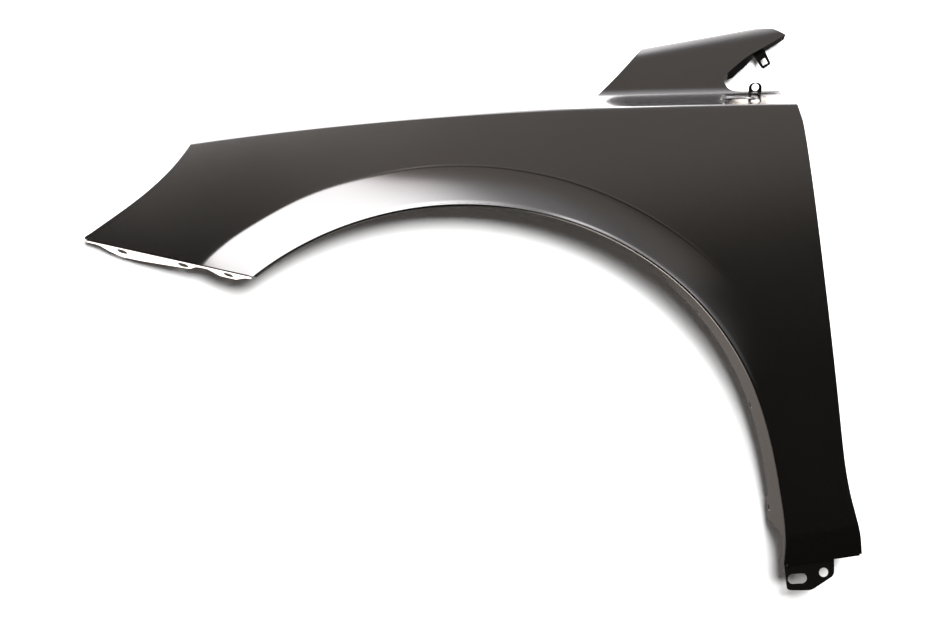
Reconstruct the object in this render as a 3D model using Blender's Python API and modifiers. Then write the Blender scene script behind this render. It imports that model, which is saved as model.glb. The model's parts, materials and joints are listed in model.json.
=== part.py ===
"""Front fender of a passenger car, left side: one steel sheet, drawn, trimmed, pierced and flanged.

Frame: +Z is up, -X is toward the front of the car and -Y is outboard. Sizes are in metres.
The outline is laid out around the centre of the wheel arch. The finished panel is then shifted, so
that the origin lies under the rail flange, where the panel is bolted along the engine bay.
"""

import math

import bmesh
import bpy
from mathutils import Matrix, Vector

# Sheet
SHEET_THICKNESS = 0.0008
FOLD_RADIUS = 0.0025
OVERRUN = 0.004
PRIMER_COLOUR = (0.018, 0.017, 0.016)
PRIMER_ROUGHNESS = 0.34

# Crown of the outer skin: how it sweeps inboard to the front and leans inboard to the top
FRONT_SWEEP = 0.100
SWEEP_LENGTH = 0.600
SWEEP_START = 0.150
LEAN_RADIUS = 1.500
LEAN_CENTRE = 0.100

# Wheel arch, with tables of (angle in degrees, share)
ARCH_RADIUS = 0.372
ARCH_FRONT_ANGLE = 130.8
ARCH_FOOT_ANGLE = -7.1
LIP_RADIUS_SHARES = (
    (-7, 1.000),
    (0, 0.988),
    (7, 0.977),
    (16, 0.979),
    (30, 0.995),
    (44, 1.004),
    (62, 1.005),
    (85, 1.001),
    (105, 1.005),
    (120, 1.016),
    (131, 1.028),
)
BAND_WIDTH = 0.050
BAND_WIDTH_SHARES = (
    (-7, 0.50),
    (0, 0.55),
    (16, 0.72),
    (30, 0.83),
    (44, 0.93),
    (62, 0.94),
    (85, 0.98),
    (105, 1.03),
    (120, 1.16),
    (132, 1.27),
    (145, 1.10),
)
FLARE_DEPTH = 0.014
FLARE_SHARES = (
    (-7, 0.28),
    (0, 0.33),
    (16, 0.48),
    (30, 0.64),
    (44, 0.72),
    (60, 0.74),
    (85, 0.76),
    (100, 0.90),
    (112, 1.18),
    (125, 1.45),
    (145, 1.50),
)
FLARE_START_SLOPES = (
    (-7, 0.03),
    (16, 0.06),
    (30, 0.10),
    (45, 0.10),
    (60, 0.02),
    (85, -0.02),
    (100, 0.06),
    (112, 0.22),
    (125, 0.33),
    (145, 0.33),
)
CREASE_BEND = 0.004
BEAD_WIDTH = 0.0055
BEAD_RISE = 0.0015
HEM_DEPTH = 0.014
LINER_FLANGE_DEPTH = 0.066
LINER_EAR_DEPTH = 0.086
FLANGE_START_ANGLE = 53.4
FLANGE_FULL_ANGLE = 48.5
EAR_TOP_ANGLE = 4.6
EAR_FOOT_ANGLE = -0.6
FLANGE_END_ANGLE = -1.8

# Front edge, between the bumper and the headlight
TIP_REACH = 0.109
TIP_DROP = 0.032
TIP_FORWARD = ARCH_RADIUS + TIP_REACH
TIP_HEIGHT = ARCH_RADIUS - TIP_DROP
TIP_RADIUS = 0.004
HOOD_CORNER_SETBACK = 0.139
HOOD_CORNER_RISE = 0.083
HOOD_CORNER_FORWARD = TIP_FORWARD - HOOD_CORNER_SETBACK
HOOD_CORNER_HEIGHT = ARCH_RADIUS + HOOD_CORNER_RISE
HOOD_CORNER_ANGLE = 122.0
HEADLIGHT_BOW = 0.0095
HEADLIGHT_SKEW_SHARE = 0.5
HEADLIGHT_FLANGE = 0.014
BUMPER_FLANGE = 0.024
BUMPER_FLANGE_ANGLE = 65.0
BUMPER_FLANGE_SHARES = (
    (0.00, 0.16),
    (0.07, 0.16),
    (0.13, 0.65),
    (0.20, 1.00),
    (0.32, 0.97),
    (0.61, 0.62),
    (0.65, 0.18),
    (0.72, 0.18),
    (0.80, 0.66),
    (0.90, 0.66),
    (0.96, 0.24),
    (1.00, 0.18),
)

# Shoulder crease, along the top of the side skin
DOOR_CORNER_SETBACK = 0.0235
DOOR_CORNER_BACK = ARCH_RADIUS + DOOR_CORNER_SETBACK
DOOR_CORNER_RISE = 0.124
DOOR_CORNER_HEIGHT = ARCH_RADIUS + DOOR_CORNER_RISE
DOOR_CORNER_ANGLE = 55.0
SHOULDER_BOW = 0.0085
SHOULDER_SKEW_SHARE = 0.12
ROLL_FRONT = 0.0032
ROLL_REAR = 0.0022

# Ledge behind the crease. Its height above the crease follows (share of the way to the ear, share)
LEDGE_RISE = 0.022
LEDGE_RISE_SHARES = (
    (0, 0.27),
    (0.70, 0.27),
    (0.77, 0.30),
    (0.84, 0.37),
    (0.91, 0.49),
    (0.96, 0.69),
    (1, 1),
)
LEDGE_TURN = 1.85
EAR_TURN = 1.93
FILLET_BEND = 0.009

# Ear that runs up to the windscreen pillar
EAR_FRONT_BACK = 0.158
EAR_TOP_FRONT_SETBACK = 0.0584
EAR_TOP_FRONT_RISE = 0.0782
EAR_TOP_LENGTH = 0.1436
EAR_TOP_CLIMB = 0.0274
EAR_TIP_LENGTH = 0.0354
EAR_TIP_DROP = 0.0099
EAR_TOP_FRONT_BACK = EAR_FRONT_BACK + EAR_TOP_FRONT_SETBACK
EAR_TOP_FRONT_HEIGHT = DOOR_CORNER_HEIGHT + EAR_TOP_FRONT_RISE
EAR_TOP_REAR_BACK = EAR_TOP_FRONT_BACK + EAR_TOP_LENGTH
EAR_TOP_REAR_HEIGHT = EAR_TOP_FRONT_HEIGHT + EAR_TOP_CLIMB
EAR_TIP_BACK = EAR_TOP_REAR_BACK + EAR_TIP_LENGTH
EAR_TIP_HEIGHT = EAR_TOP_REAR_HEIGHT - EAR_TIP_DROP
EAR_FRONT_BOW = 0.0025
EAR_BAND_HEIGHT = 0.012
EAR_BAND_TURN = 0.55
EAR_BAND_BEND = 0.002
EAR_TIP_DROP_SHARE = 0.55
EAR_TIP_REACH_SHARE = 0.85
EAR_FLANGE = 0.011
EAR_FLANGE_FALL = 0.6
SILL_FLANGE_LEAN = 0.9

# Notch for the small corner window, between the ear and the ledge
NOTCH_LENGTH = 0.0793
NOTCH_APEX_RISE = 0.0369
NOTCH_FOOT_SETBACK = 0.0664
NOTCH_FOOT_DROP = 0.0132
NOTCH_APEX_BACK = DOOR_CORNER_BACK - NOTCH_LENGTH
NOTCH_APEX_HEIGHT = DOOR_CORNER_HEIGHT + NOTCH_APEX_RISE
NOTCH_FOOT_BACK = NOTCH_APEX_BACK + NOTCH_FOOT_SETBACK
NOTCH_FOOT_HEIGHT = NOTCH_APEX_HEIGHT - NOTCH_FOOT_DROP
NOTCH_SILL_SHARES = (
    (0, 0),
    (0.02, 0.35),
    (0.06, 0.70),
    (0.17, 1.02),
    (0.40, 1.08),
    (0.75, 1.05),
    (1, 1),
)
NOTCH_TOP_SHARES = (
    (0, 0),
    (0.02, 0.11),
    (0.155, 0.30),
    (0.30, 0.465),
    (0.43, 0.575),
    (0.60, 0.69),
    (0.78, 0.83),
    (1, 1),
)
DISH_SETBACK = 0.0183
DISH_RISE = 0.0105
DISH_LENGTH = 0.0340
DISH_HEIGHT = 0.0110
DISH_DEPTH = 0.0020
NOTCH_FLANGE = 0.018
NOTCH_SPREAD = 0.0085
NOTCH_SPREAD_SHARES = ((0, 0.3), (0.12, 1.0), (0.35, 0.9), (0.5, 0.45), (1, 0.35))

# Door edge, as (share of the way down, share of the way back)
DOOR_FOOT_SETBACK = 0.0650
DOOR_FOOT_HEIGHT = -0.0334
DOOR_FOOT_BACK = DOOR_CORNER_BACK + DOOR_FOOT_SETBACK
DOOR_EDGE_SHARES = (
    (0, 0),
    (0.03, 0.07),
    (0.13, 0.155),
    (0.40, 0.335),
    (0.66, 0.526),
    (0.79, 0.635),
    (0.86, 0.735),
    (0.92, 0.865),
    (0.96, 0.95),
    (1, 1),
)
DOOR_DROP_SHARES = (
    (-7.1, 1),
    (-2.1, 0.937),
    (2.4, 0.885),
    (8, 0.815),
    (16, 0.71),
    (24.5, 0.59),
    (33.5, 0.45),
    (43, 0.27),
    (55, 0),
)
DOOR_FLANGE = 0.014
PILLAR_EAR = 0.030
PILLAR_EAR_SHARES = (
    (0, 0.47),
    (0.13, 0.47),
    (0.16, 1),
    (0.21, 1),
    (0.24, 0.47),
    (0.58, 0.47),
    (0.61, 1),
    (0.66, 1),
    (0.69, 0.47),
    (1, 0.47),
)
PILLAR_HOLE = 0.0085
PILLAR_HOLE_DEPTH = 0.020
PILLAR_HOLE_SHARES = (0.185, 0.635)

# Foot of the leg, with the kick crease above it and the sill tab below
KICK_ANGLE = -2.1
KICK_SLOPE = 0.21
KICK_BEND = 0.003
TAB_SETBACK = 0.010
TAB_FRONT_SETBACK = 0.0028
TAB_FRONT_SLANT = 0.0040
TAB_LENGTH = 0.0590
TAB_DROP = 0.0320
TAB_SLANT_LENGTH = 0.0325
TAB_SLANT_DROP = 0.0145
TAB_CORNER_RADIUS = 0.004
SLOT_LENGTH = 0.0225
SLOT_WIDTH = 0.0118
SLOT_SETBACK = 0.0160
SLOT_DROP = 0.0184
SLOT_TILT = 4.0
TAB_HOLE = 0.0110
TAB_HOLE_SETBACK = 0.0467
TAB_HOLE_DROP = 0.0110

# Rail flange, bolted along the engine bay
RAIL_DROP = 0.018
RAIL_RISE = 0.029
RAIL_RUN = 0.383
RAIL_WIDTH = 0.030
RAIL_WALL_LEAN = 0.003
RAIL_HOLE = 0.0090
RAIL_HOLE_SHARES = (0.10, 0.48, 0.88)
RAIL_MOUNT_SHARE = 0.515
SCALLOP_LENGTH = 0.085
SCALLOP_DEPTH = 0.012
SCALLOP_RADIUS = 0.007
SCALLOP_SHARES = (0.29, 0.68)

# Small tabs in the notch
TAB_ROOT_LAP = 0.0025
CLIP_TAB_WIDTH = 0.0165
CLIP_TAB_END_WIDTH = 0.0130
CLIP_TAB_LENGTH = 0.0180
CLIP_TAB_SHARE = 0.60
CLIP_TAB_RADIUS = 0.003
CLIP_HOLE = 0.0075
CLIP_HOLE_RADIUS = 0.0006
CLIP_HOLE_DROP = 0.0110
LUG_WIDTH = 0.0160
LUG_HEIGHT = 0.0105
LUG_RADIUS = 0.0065
LUG_HOLE = 0.0074
LUG_HOLE_RISE = 0.0051
LUG_SHARE = 0.244
LUG_LEAN = 0.3

# Holes in the flanges
BUMPER_HOLE_LENGTH = 0.0130
BUMPER_HOLE_WIDTH = 0.0085
BUMPER_HOLE_SHARES = (0.215, 0.575)
BUMPER_HOLE_DROP = 0.0090
BUMPER_SLOT_LENGTH = 0.0130
BUMPER_SLOT_WIDTH = 0.0080
BUMPER_SLOT_SHARE = 0.855
BUMPER_SLOT_DROP = 0.0085
LINER_HOLE = 0.0080
LINER_HOLE_ANGLES = (42.0, 22.0, 1.8)
LINER_HOLE_INSET = 0.010

# How finely each stretch of the sheet is divided
TIP_STATIONS = 3
FRONT_CROWDING = 1.6
HEADLIGHT_STEPS = 6
FRONT_STEPS = 24
EAR_STEPS = 8
LIP_FOLD_ANGLES = (90.0, 60.0, 30.0)
FLANGE_ROW_SHARES = (1.0, 0.5, 0.1)
BAND_ROW_SHARES = (0.30, 0.62)
SKIN_ROW_SHARES = (0.12, 0.32, 0.54, 0.77, 1.0)
LEDGE_ROW_SHARES = (0.10, 0.22, 0.36, 0.50, 0.66, 0.82, 1.0)
NOTCH_COLUMN_SHARES = (0.02, 0.06, 0.11, 0.17, 0.23, 0.29, 0.35, 0.41, 0.53, 0.72, 0.86, 1.0)
FILLET_ROW_SHARES = (0.33, 0.66, 1.0)
BUMPER_ROW_SHARES = (0.5, 1.0)
WALL_ROW_SHARES = (0.5, 1.0)
NOTCH_ROW_SHARES = (0.14, 1.0)
BUMPER_EDGE_STEPS = 2
EAR_ROW_SHARES = (0.5, 1.0)
HOLE_SIDES = 16
CORNER_SEGMENTS = 4
SHARP_ANGLE = 30.0


def smooth(table, place):
    """Value of a table of pairs at a place, read along a smooth curve through them."""
    if place <= table[0][0]:
        return table[0][1]
    if place >= table[-1][0]:
        return table[-1][1]
    last = len(table) - 1
    at = max(index for index in range(last) if table[index][0] <= place)

    def slope(index):
        low, high = max(index - 1, 0), min(index + 1, last)
        return (table[high][1] - table[low][1]) / (table[high][0] - table[low][0])

    run = table[at + 1][0] - table[at][0]
    t = (place - table[at][0]) / run
    start, end = table[at][1], table[at + 1][1]
    return (
        start * (1 + 2 * t) * (1 - t) ** 2
        + end * (3 - 2 * t) * t**2
        + run * slope(at) * t * (1 - t) ** 2
        - run * slope(at + 1) * t**2 * (1 - t)
    )


def straight(table, place):
    """Value of a table of pairs at a place, read along straight lines between them."""
    for (low, start), (high, end) in zip(table, table[1:]):
        if place <= high:
            return start + (end - start) * max(0.0, place - low) / (high - low)
    return table[-1][1]


def bend(distance, half):
    """Nothing before the bend, then a round turn of twice this half width into a slope of one."""
    if distance <= -half:
        return 0.0
    if distance >= half:
        return distance
    return (distance + half) ** 2 / (4 * half)


def bowed(start, end, bow, share, skew=0.0):
    """Point on a line from start to end that bows to its left by this much."""
    start, end = Vector(start), Vector(end)
    run = end - start
    left = Vector((-run.y, run.x)).normalized()
    rise = 4 * share * (1 - share) * (1 + skew * (1 - 2 * share))
    return start + run * share + left * bow * rise


def lip_radius(angle):
    return ARCH_RADIUS * smooth(LIP_RADIUS_SHARES, angle)


def band_width(angle):
    return BAND_WIDTH * smooth(BAND_WIDTH_SHARES, angle)


def lip_point(angle):
    turn = math.radians(angle)
    return Vector((math.cos(turn), math.sin(turn))) * lip_radius(angle)


def shoulder_share(x):
    return min(max((x + HOOD_CORNER_FORWARD) / (DOOR_CORNER_BACK + HOOD_CORNER_FORWARD), 0.0), 1.0)


def shoulder_height(x):
    """Height of the shoulder crease at this distance back from the wheel centre."""
    start = (-HOOD_CORNER_FORWARD, HOOD_CORNER_HEIGHT)
    end = (DOOR_CORNER_BACK, DOOR_CORNER_HEIGHT)
    return bowed(start, end, SHOULDER_BOW, shoulder_share(x), SHOULDER_SKEW_SHARE).y


def ledge_height(x):
    """How far the ledge rises above the crease, up to the hood gap or the foot of the ear."""
    share = (x + HOOD_CORNER_FORWARD) / (EAR_FRONT_BACK + HOOD_CORNER_FORWARD)
    return LEDGE_RISE * smooth(LEDGE_RISE_SHARES, share)


def ear_top_height(x):
    share = (x - EAR_TOP_FRONT_BACK) / (EAR_TOP_REAR_BACK - EAR_TOP_FRONT_BACK)
    return EAR_TOP_FRONT_HEIGHT + (EAR_TOP_REAR_HEIGHT - EAR_TOP_FRONT_HEIGHT) * share


def door_edge(share):
    """Point on the door edge at this share of the way down."""
    back = DOOR_CORNER_BACK + (DOOR_FOOT_BACK - DOOR_CORNER_BACK) * smooth(DOOR_EDGE_SHARES, share)
    return Vector((back, DOOR_CORNER_HEIGHT + (DOOR_FOOT_HEIGHT - DOOR_CORNER_HEIGHT) * share))


def door_point(angle):
    return door_edge(smooth(DOOR_DROP_SHARES, angle))


def below_kick(x, z):
    """Distance below the kick crease, which runs straight across the leg."""
    start, end = lip_point(KICK_ANGLE), door_point(KICK_ANGLE)
    run = (end - start).normalized()
    return run.y * (x - start.x) - run.x * (z - start.y)


def flare(x, z):
    """How far the band around the arch stands out from the skin."""
    angle = math.degrees(math.atan2(z, x))
    inside = lip_radius(angle) + band_width(angle) - math.hypot(x, z)
    if inside <= -CREASE_BEND:
        return 0.0
    slope = smooth(FLARE_START_SLOPES, angle)
    rest = FLARE_DEPTH * smooth(FLARE_SHARES, angle) - slope * band_width(angle)
    return slope * bend(inside, CREASE_BEND) + rest * (max(inside, 0.0) / band_width(angle)) ** 2


def dish(x, z):
    """Depth of the shallow oval dish in the ledge under the notch."""
    back = DISH_SETBACK + NOTCH_APEX_BACK
    across = 2 * (x - back) / DISH_LENGTH
    up = 2 * (z - shoulder_height(back) - DISH_RISE) / DISH_HEIGHT
    return DISH_DEPTH * max(0.0, 1 - across**2 - up**2) ** 0.5


def depth(x, z):
    """How far inboard the outer face lies at this place, seen square from the side."""
    swept = max(0.0, SWEEP_START - x) / SWEEP_LENGTH
    inboard = FRONT_SWEEP * swept**2 + (z - LEAN_CENTRE) ** 2 / (2 * LEAN_RADIUS)
    inboard += KICK_SLOPE * bend(below_kick(x, z), KICK_BEND) if x > 0 else 0.0
    above = z - shoulder_height(x)
    roll = ROLL_FRONT + (ROLL_REAR - ROLL_FRONT) * shoulder_share(x)
    inboard += LEDGE_TURN * bend(above - roll, roll)
    inboard -= EAR_TURN * bend(above - LEDGE_RISE, FILLET_BEND)
    inboard += EAR_BAND_TURN * bend(z - ear_top_height(x) + EAR_BAND_HEIGHT, EAR_BAND_BEND)
    return inboard + dish(x, z) - flare(x, z)


def on_face(place):
    """Point of the outer face at this place, given as back and height."""
    return Vector((place.x, depth(place.x, place.y), place.y))


def hem_depth(angle):
    """Depth of the flange behind the lip: a narrow hem, then the wide flange for the arch liner."""
    table = (
        (FLANGE_END_ANGLE, HEM_DEPTH),
        (EAR_FOOT_ANGLE, LINER_EAR_DEPTH),
        (EAR_TOP_ANGLE - 1, LINER_EAR_DEPTH),
        (EAR_TOP_ANGLE, LINER_FLANGE_DEPTH),
        (FLANGE_FULL_ANGLE, LINER_FLANGE_DEPTH),
        (FLANGE_START_ANGLE, HEM_DEPTH),
    )
    return straight(table, angle)


def crease_share(start, end):
    """Share of the way from the lip to the outer edge at which the band meets the skin."""
    low, high = 0.0, 1.0
    for _ in range(24):
        middle = (low + high) / 2
        place = start.lerp(end, middle)
        angle = math.degrees(math.atan2(place.y, place.x))
        if place.length < lip_radius(angle) + band_width(angle):
            low = middle
        else:
            high = middle
    return high


def side_section(angle, end):
    """Points across the side of the panel, from the free edge of the hem to the outer edge."""
    start = lip_point(angle)
    run = end - start
    across = run.normalized()
    crest = on_face(start + across * FOLD_RADIUS) - Vector((0, BEAD_RISE, 0))
    points = []
    for share in FLANGE_ROW_SHARES:
        points.append(Vector((start.x, crest.y + FOLD_RADIUS + hem_depth(angle) * share, start.y)))
    for turn in LIP_FOLD_ANGLES:
        rise = 1 - math.sin(math.radians(turn))
        place = start + across * FOLD_RADIUS * rise
        inboard = FOLD_RADIUS * (1 - math.cos(math.radians(turn)))
        points.append(Vector((place.x, crest.y + inboard, place.y)))
    points.append(crest)
    root = start + across * BEAD_WIDTH
    crease = start + run * crease_share(start, end)
    points.append(on_face(root))
    for share in BAND_ROW_SHARES:
        points.append(on_face(root.lerp(crease, share)))
    points.append(on_face(crease - across * CREASE_BEND))
    beyond = crease + across * CREASE_BEND
    points.append(on_face(beyond))
    for share in SKIN_ROW_SHARES:
        points.append(on_face(beyond.lerp(end, share)))
    return points


CREST_ROW = len(FLANGE_ROW_SHARES) + len(LIP_FOLD_ANGLES)


def steps(start, end, count):
    """Even steps after start, up to and with end."""
    return [start + (end - start) * (step + 1) / count for step in range(count)]


def headlight_stations():
    """Lip angle and outer point of each section ahead of the hood corner."""
    tip = Vector((-TIP_FORWARD, TIP_HEIGHT))
    corner = Vector((-HOOD_CORNER_FORWARD, HOOD_CORNER_HEIGHT))
    to_arch = (lip_point(ARCH_FRONT_ANGLE) - tip).normalized()
    to_hood = (corner - tip).normalized()
    start = tip + to_arch * TIP_RADIUS
    turn = tip + (to_arch + to_hood) * TIP_RADIUS / 4
    places = [start, turn, tip + to_hood * TIP_RADIUS]
    first = TIP_RADIUS / (corner - tip).length
    for share in steps(first, 1.0, HEADLIGHT_STEPS):
        places.append(bowed(tip, corner, -HEADLIGHT_BOW, share, -HEADLIGHT_SKEW_SHARE))
    stations = []
    for index, place in enumerate(places):
        share = (index / (len(places) - 1)) ** FRONT_CROWDING
        stations.append((ARCH_FRONT_ANGLE + (HOOD_CORNER_ANGLE - ARCH_FRONT_ANGLE) * share, place))
    return stations


def shoulder_stations():
    """Lip angle and outer point of each section under the shoulder crease."""
    backs = steps(-HOOD_CORNER_FORWARD, EAR_FRONT_BACK, FRONT_STEPS)
    backs += steps(EAR_FRONT_BACK, NOTCH_APEX_BACK, EAR_STEPS)
    backs += [NOTCH_APEX_BACK + (DOOR_CORNER_BACK - NOTCH_APEX_BACK) * share for share in NOTCH_COLUMN_SHARES]
    stations = []
    for back in backs:
        angle = HOOD_CORNER_ANGLE + (DOOR_CORNER_ANGLE - HOOD_CORNER_ANGLE) * shoulder_share(back)
        stations.append((angle, Vector((back, shoulder_height(back)))))
    return stations


def door_stations():
    """Lip angle and outer point of each section ahead of the door edge."""
    angles = [FLANGE_START_ANGLE]
    angles += steps(FLANGE_START_ANGLE, FLANGE_FULL_ANGLE, 3)
    angles += steps(FLANGE_FULL_ANGLE, EAR_TOP_ANGLE, 13)
    angles += steps(EAR_TOP_ANGLE, EAR_TOP_ANGLE - 1, 1)
    angles += steps(EAR_TOP_ANGLE - 1, EAR_FOOT_ANGLE, 3)
    angles += steps(EAR_FOOT_ANGLE, FLANGE_END_ANGLE, 2)
    angles += steps(FLANGE_END_ANGLE, KICK_ANGLE, 1)
    angles += steps(KICK_ANGLE, ARCH_FOOT_ANGLE, 5)
    return [(angle, door_point(angle)) for angle in angles]


def loft(bm, sections):
    """Skins each pair of neighbouring sections, point to point."""
    for near, far in zip(sections, sections[1:]):
        for a, b, c, d in zip(near, far, far[1:], near[1:]):
            bm.faces.new((a, b, c, d))


def add_points(bm, points):
    return [bm.verts.new(point) for point in points]


def turn_edge(bm, line, offset=(0, 0, 0)):
    """Draws a row of a flange from a line of points on a free edge, and gives its new edge."""
    edges = [bm.edges.get(pair) for pair in zip(line, line[1:])]
    made = bmesh.ops.extrude_edge_only(bm, edges=edges)["geom"]
    fresh = [item for item in made if isinstance(item, bmesh.types.BMVert)]
    turned = []
    for vert in line:
        twin = min(fresh, key=lambda other: (other.co - vert.co).length)
        fresh.remove(twin)
        turned.append(twin)
    for twin in turned:
        twin.co += Vector(offset)
    return turned


def divide_edge(line, cuts):
    """Puts more points on a line of points along a free edge."""
    finer = [line[0]]
    for near, far in zip(line, line[1:]):
        for left in range(cuts, 0, -1):
            edge = next(edge for edge in near.link_edges if edge.other_vert(near) is far)
            near = bmesh.utils.edge_split(edge, near, 1 / (left + 1))[1]
            finer.append(near)
        finer.append(far)
    return finer


def build_side(bm):
    """The side skin with the arch band, bead and hem, as sections from the front to the foot."""
    sections = []
    for angle, end in headlight_stations() + shoulder_stations() + door_stations():
        sections.append(add_points(bm, side_section(angle, end)))
    loft(bm, sections)
    return sections


def build_ledge(bm, crease_line):
    """The roll over the shoulder crease and the ledge behind it, up to the hood gap or the ear."""
    columns = []
    for vert in crease_line:
        back = vert.co.x
        column = [vert]
        for share in LEDGE_ROW_SHARES:
            place = Vector((back, shoulder_height(back) + ledge_height(back) * share))
            column.append(bm.verts.new(on_face(place)))
        columns.append(column)
    loft(bm, columns)
    return columns


def ear_front(share):
    start = (EAR_FRONT_BACK, shoulder_height(EAR_FRONT_BACK) + LEDGE_RISE)
    end = (EAR_TOP_FRONT_BACK, EAR_TOP_FRONT_HEIGHT)
    return bowed(start, end, -EAR_FRONT_BOW, share)


def build_ear(bm, foot_line):
    """The wall of the ear between its front edge and the notch."""
    columns = []
    count = len(foot_line) - 1
    apex_rise = NOTCH_APEX_HEIGHT - shoulder_height(NOTCH_APEX_BACK) - LEDGE_RISE
    for index, vert in enumerate(foot_line):
        share = index / count
        top_back = EAR_TOP_FRONT_BACK + (NOTCH_APEX_BACK - EAR_TOP_FRONT_BACK) * share
        foot, top = vert.co.z, ear_top_height(top_back)
        rises = [apex_rise * row for row in FILLET_ROW_SHARES]
        band = top - foot - EAR_BAND_HEIGHT - EAR_BAND_BEND
        rises += [apex_rise + (band - apex_rise) * row for row in EAR_ROW_SHARES]
        rises += [band + 2 * EAR_BAND_BEND, top - foot]
        column = [vert]
        for rise in rises:
            edge = ear_front(rise / (top - foot)).x
            back = edge + (NOTCH_APEX_BACK - edge) * share
            column.append(bm.verts.new(on_face(Vector((back, foot + rise)))))
        columns.append(column)
    loft(bm, columns)
    return columns


def sill_point(share):
    """Point on the lower edge of the notch."""
    height = NOTCH_APEX_HEIGHT + (NOTCH_FOOT_HEIGHT - NOTCH_APEX_HEIGHT) * smooth(NOTCH_SILL_SHARES, share)
    return Vector((NOTCH_APEX_BACK + (NOTCH_FOOT_BACK - NOTCH_APEX_BACK) * share, height))


def notch_top_point(share):
    """Point on the upper edge of the notch."""
    rise = (EAR_TIP_HEIGHT - NOTCH_APEX_HEIGHT) * smooth(NOTCH_TOP_SHARES, share)
    return Vector((NOTCH_APEX_BACK + (EAR_TIP_BACK - NOTCH_APEX_BACK) * share, NOTCH_APEX_HEIGHT + rise))


def tail_top_point(share):
    """Point on the top edge of the ear, from above the notch to its rounded end."""
    end = Vector((EAR_TIP_BACK, EAR_TIP_HEIGHT))
    back = NOTCH_APEX_BACK + (EAR_TIP_BACK - NOTCH_APEX_BACK) * share
    straight_end = EAR_TOP_REAR_BACK
    if back <= straight_end:
        return Vector((back, ear_top_height(back)))
    past = (back - straight_end) / (end.x - straight_end)
    reach = (end.x - straight_end) * EAR_TIP_REACH_SHARE
    drop = (EAR_TOP_REAR_HEIGHT - EAR_TIP_HEIGHT) * EAR_TIP_DROP_SHARE
    return Vector((straight_end + reach * past, EAR_TOP_REAR_HEIGHT - drop * past**2))


def build_notch(bm, apex_column, rear_line):
    """The ledge under the notch and the tail of the ear over it, both from the column at the apex."""
    low_count = len(LEDGE_ROW_SHARES) + len(FILLET_ROW_SHARES)
    low, high = [apex_column[: low_count + 1]], [apex_column[low_count:]]
    apex_foot = apex_column[0].co.z
    rises = [(vert.co.z - apex_foot) / (apex_column[low_count].co.z - apex_foot) for vert in low[0]]
    for share, vert in zip(NOTCH_COLUMN_SHARES, rear_line):
        start = Vector((vert.co.x, vert.co.z))
        end = sill_point(share)
        low.append([vert] + [bm.verts.new(on_face(start.lerp(end, rise))) for rise in rises[1:]])
        foot, top = notch_top_point(share), tail_top_point(share)
        high.append([bm.verts.new(on_face(foot.lerp(top, row))) for row in tail_rows(high[0])])
    loft(bm, low)
    loft(bm, high)
    return low, high


def tail_rows(column):
    """Share of the way up at which each point of the first tail column lies."""
    foot, top = column[0].co.z, column[-1].co.z
    return [(vert.co.z - foot) / (top - foot) for vert in column]


def edge_shares(line):
    """Length run along a line of points, as a share, for each point."""
    lengths = [0.0]
    for near, far in zip(line, line[1:]):
        lengths.append(lengths[-1] + (far.co - near.co).length)
    return [length / lengths[-1] for length in lengths]


def along_line(points, share):
    """Place at this share of the length of a line, and the way the line runs there."""
    rest = share * sum((far - near).length for near, far in zip(points, points[1:]))
    for near, far in zip(points, points[1:]):
        run = far - near
        if rest <= run.length:
            break
        rest -= run.length
    return near + run.normalized() * rest, run.normalized()


def places(line):
    return [vert.co.copy() for vert in line]


def bumper_direction():
    """Way that the bumper flange runs from its edge: down and inboard."""
    edge = (lip_point(ARCH_FRONT_ANGLE) - Vector((-TIP_FORWARD, TIP_HEIGHT))).normalized()
    fall = math.cos(math.radians(BUMPER_FLANGE_ANGLE))
    return Vector((edge.y * fall, math.sin(math.radians(BUMPER_FLANGE_ANGLE)), -edge.x * fall))


def build_bumper_flange(bm, section):
    """The flange with its two ears, turned from the lower front edge. Gives the line of its root."""
    line = divide_edge(section[CREST_ROW + 1 :][::-1], BUMPER_EDGE_STEPS)
    root = places(line)
    way = bumper_direction()
    widths = [BUMPER_FLANGE * straight(BUMPER_FLANGE_SHARES, share) for share in edge_shares(line)]
    for part in BUMPER_ROW_SHARES:
        line = turn_edge(bm, line)
        for vert, foot, width in zip(line, root, widths):
            vert.co = foot + way * width * part
    return root


def rail_height(x):
    """Height of the flat rail flange, which climbs toward the windscreen."""
    start = shoulder_height(-HOOD_CORNER_FORWARD) + ledge_height(-HOOD_CORNER_FORWARD) - RAIL_DROP
    return start + (x + HOOD_CORNER_FORWARD) * RAIL_RISE / RAIL_RUN


def build_rail_flange(bm, line):
    """The wall that drops from the hood gap and the flat flange at its foot, down whose middle
    the bolts go. Gives the middle line and the free edge."""
    line = turn_edge(bm, line, (0, FOLD_RADIUS / 2, -FOLD_RADIUS / 2))
    for part in WALL_ROW_SHARES:
        line = turn_edge(bm, line, (0, RAIL_WALL_LEAN / 2, 0))
        for vert in line:
            vert.co.z += (rail_height(vert.co.x) - vert.co.z) * part
    line = turn_edge(bm, line, (0, RAIL_WIDTH / 2, 0))
    middle = places(line)
    line = turn_edge(bm, line, (0, RAIL_WIDTH / 2, 0))
    return middle, places(line)


def build_plain_flange(bm, line, way, width, shares=((0, 1), (1, 1))):
    """A flange with a small fold at its root. Its width follows shares along the edge."""
    root = places(line)
    way = Vector(way).normalized()
    widths = [width * straight(shares, share) for share in edge_shares(line)]
    line = turn_edge(bm, line, way * FOLD_RADIUS)
    line = turn_edge(bm, line)
    for vert, foot, reach in zip(line, root, widths):
        vert.co = foot + way * reach
    return root


def notch_flange_reach(share):
    """Way from the upper edge of the notch to the free edge of its flange."""
    run = notch_top_point(1.0) - notch_top_point(0.0)
    into = Vector((run.y, -run.x)).normalized() * NOTCH_SPREAD * straight(NOTCH_SPREAD_SHARES, share)
    return Vector((into.x, NOTCH_FLANGE, into.y))


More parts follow.
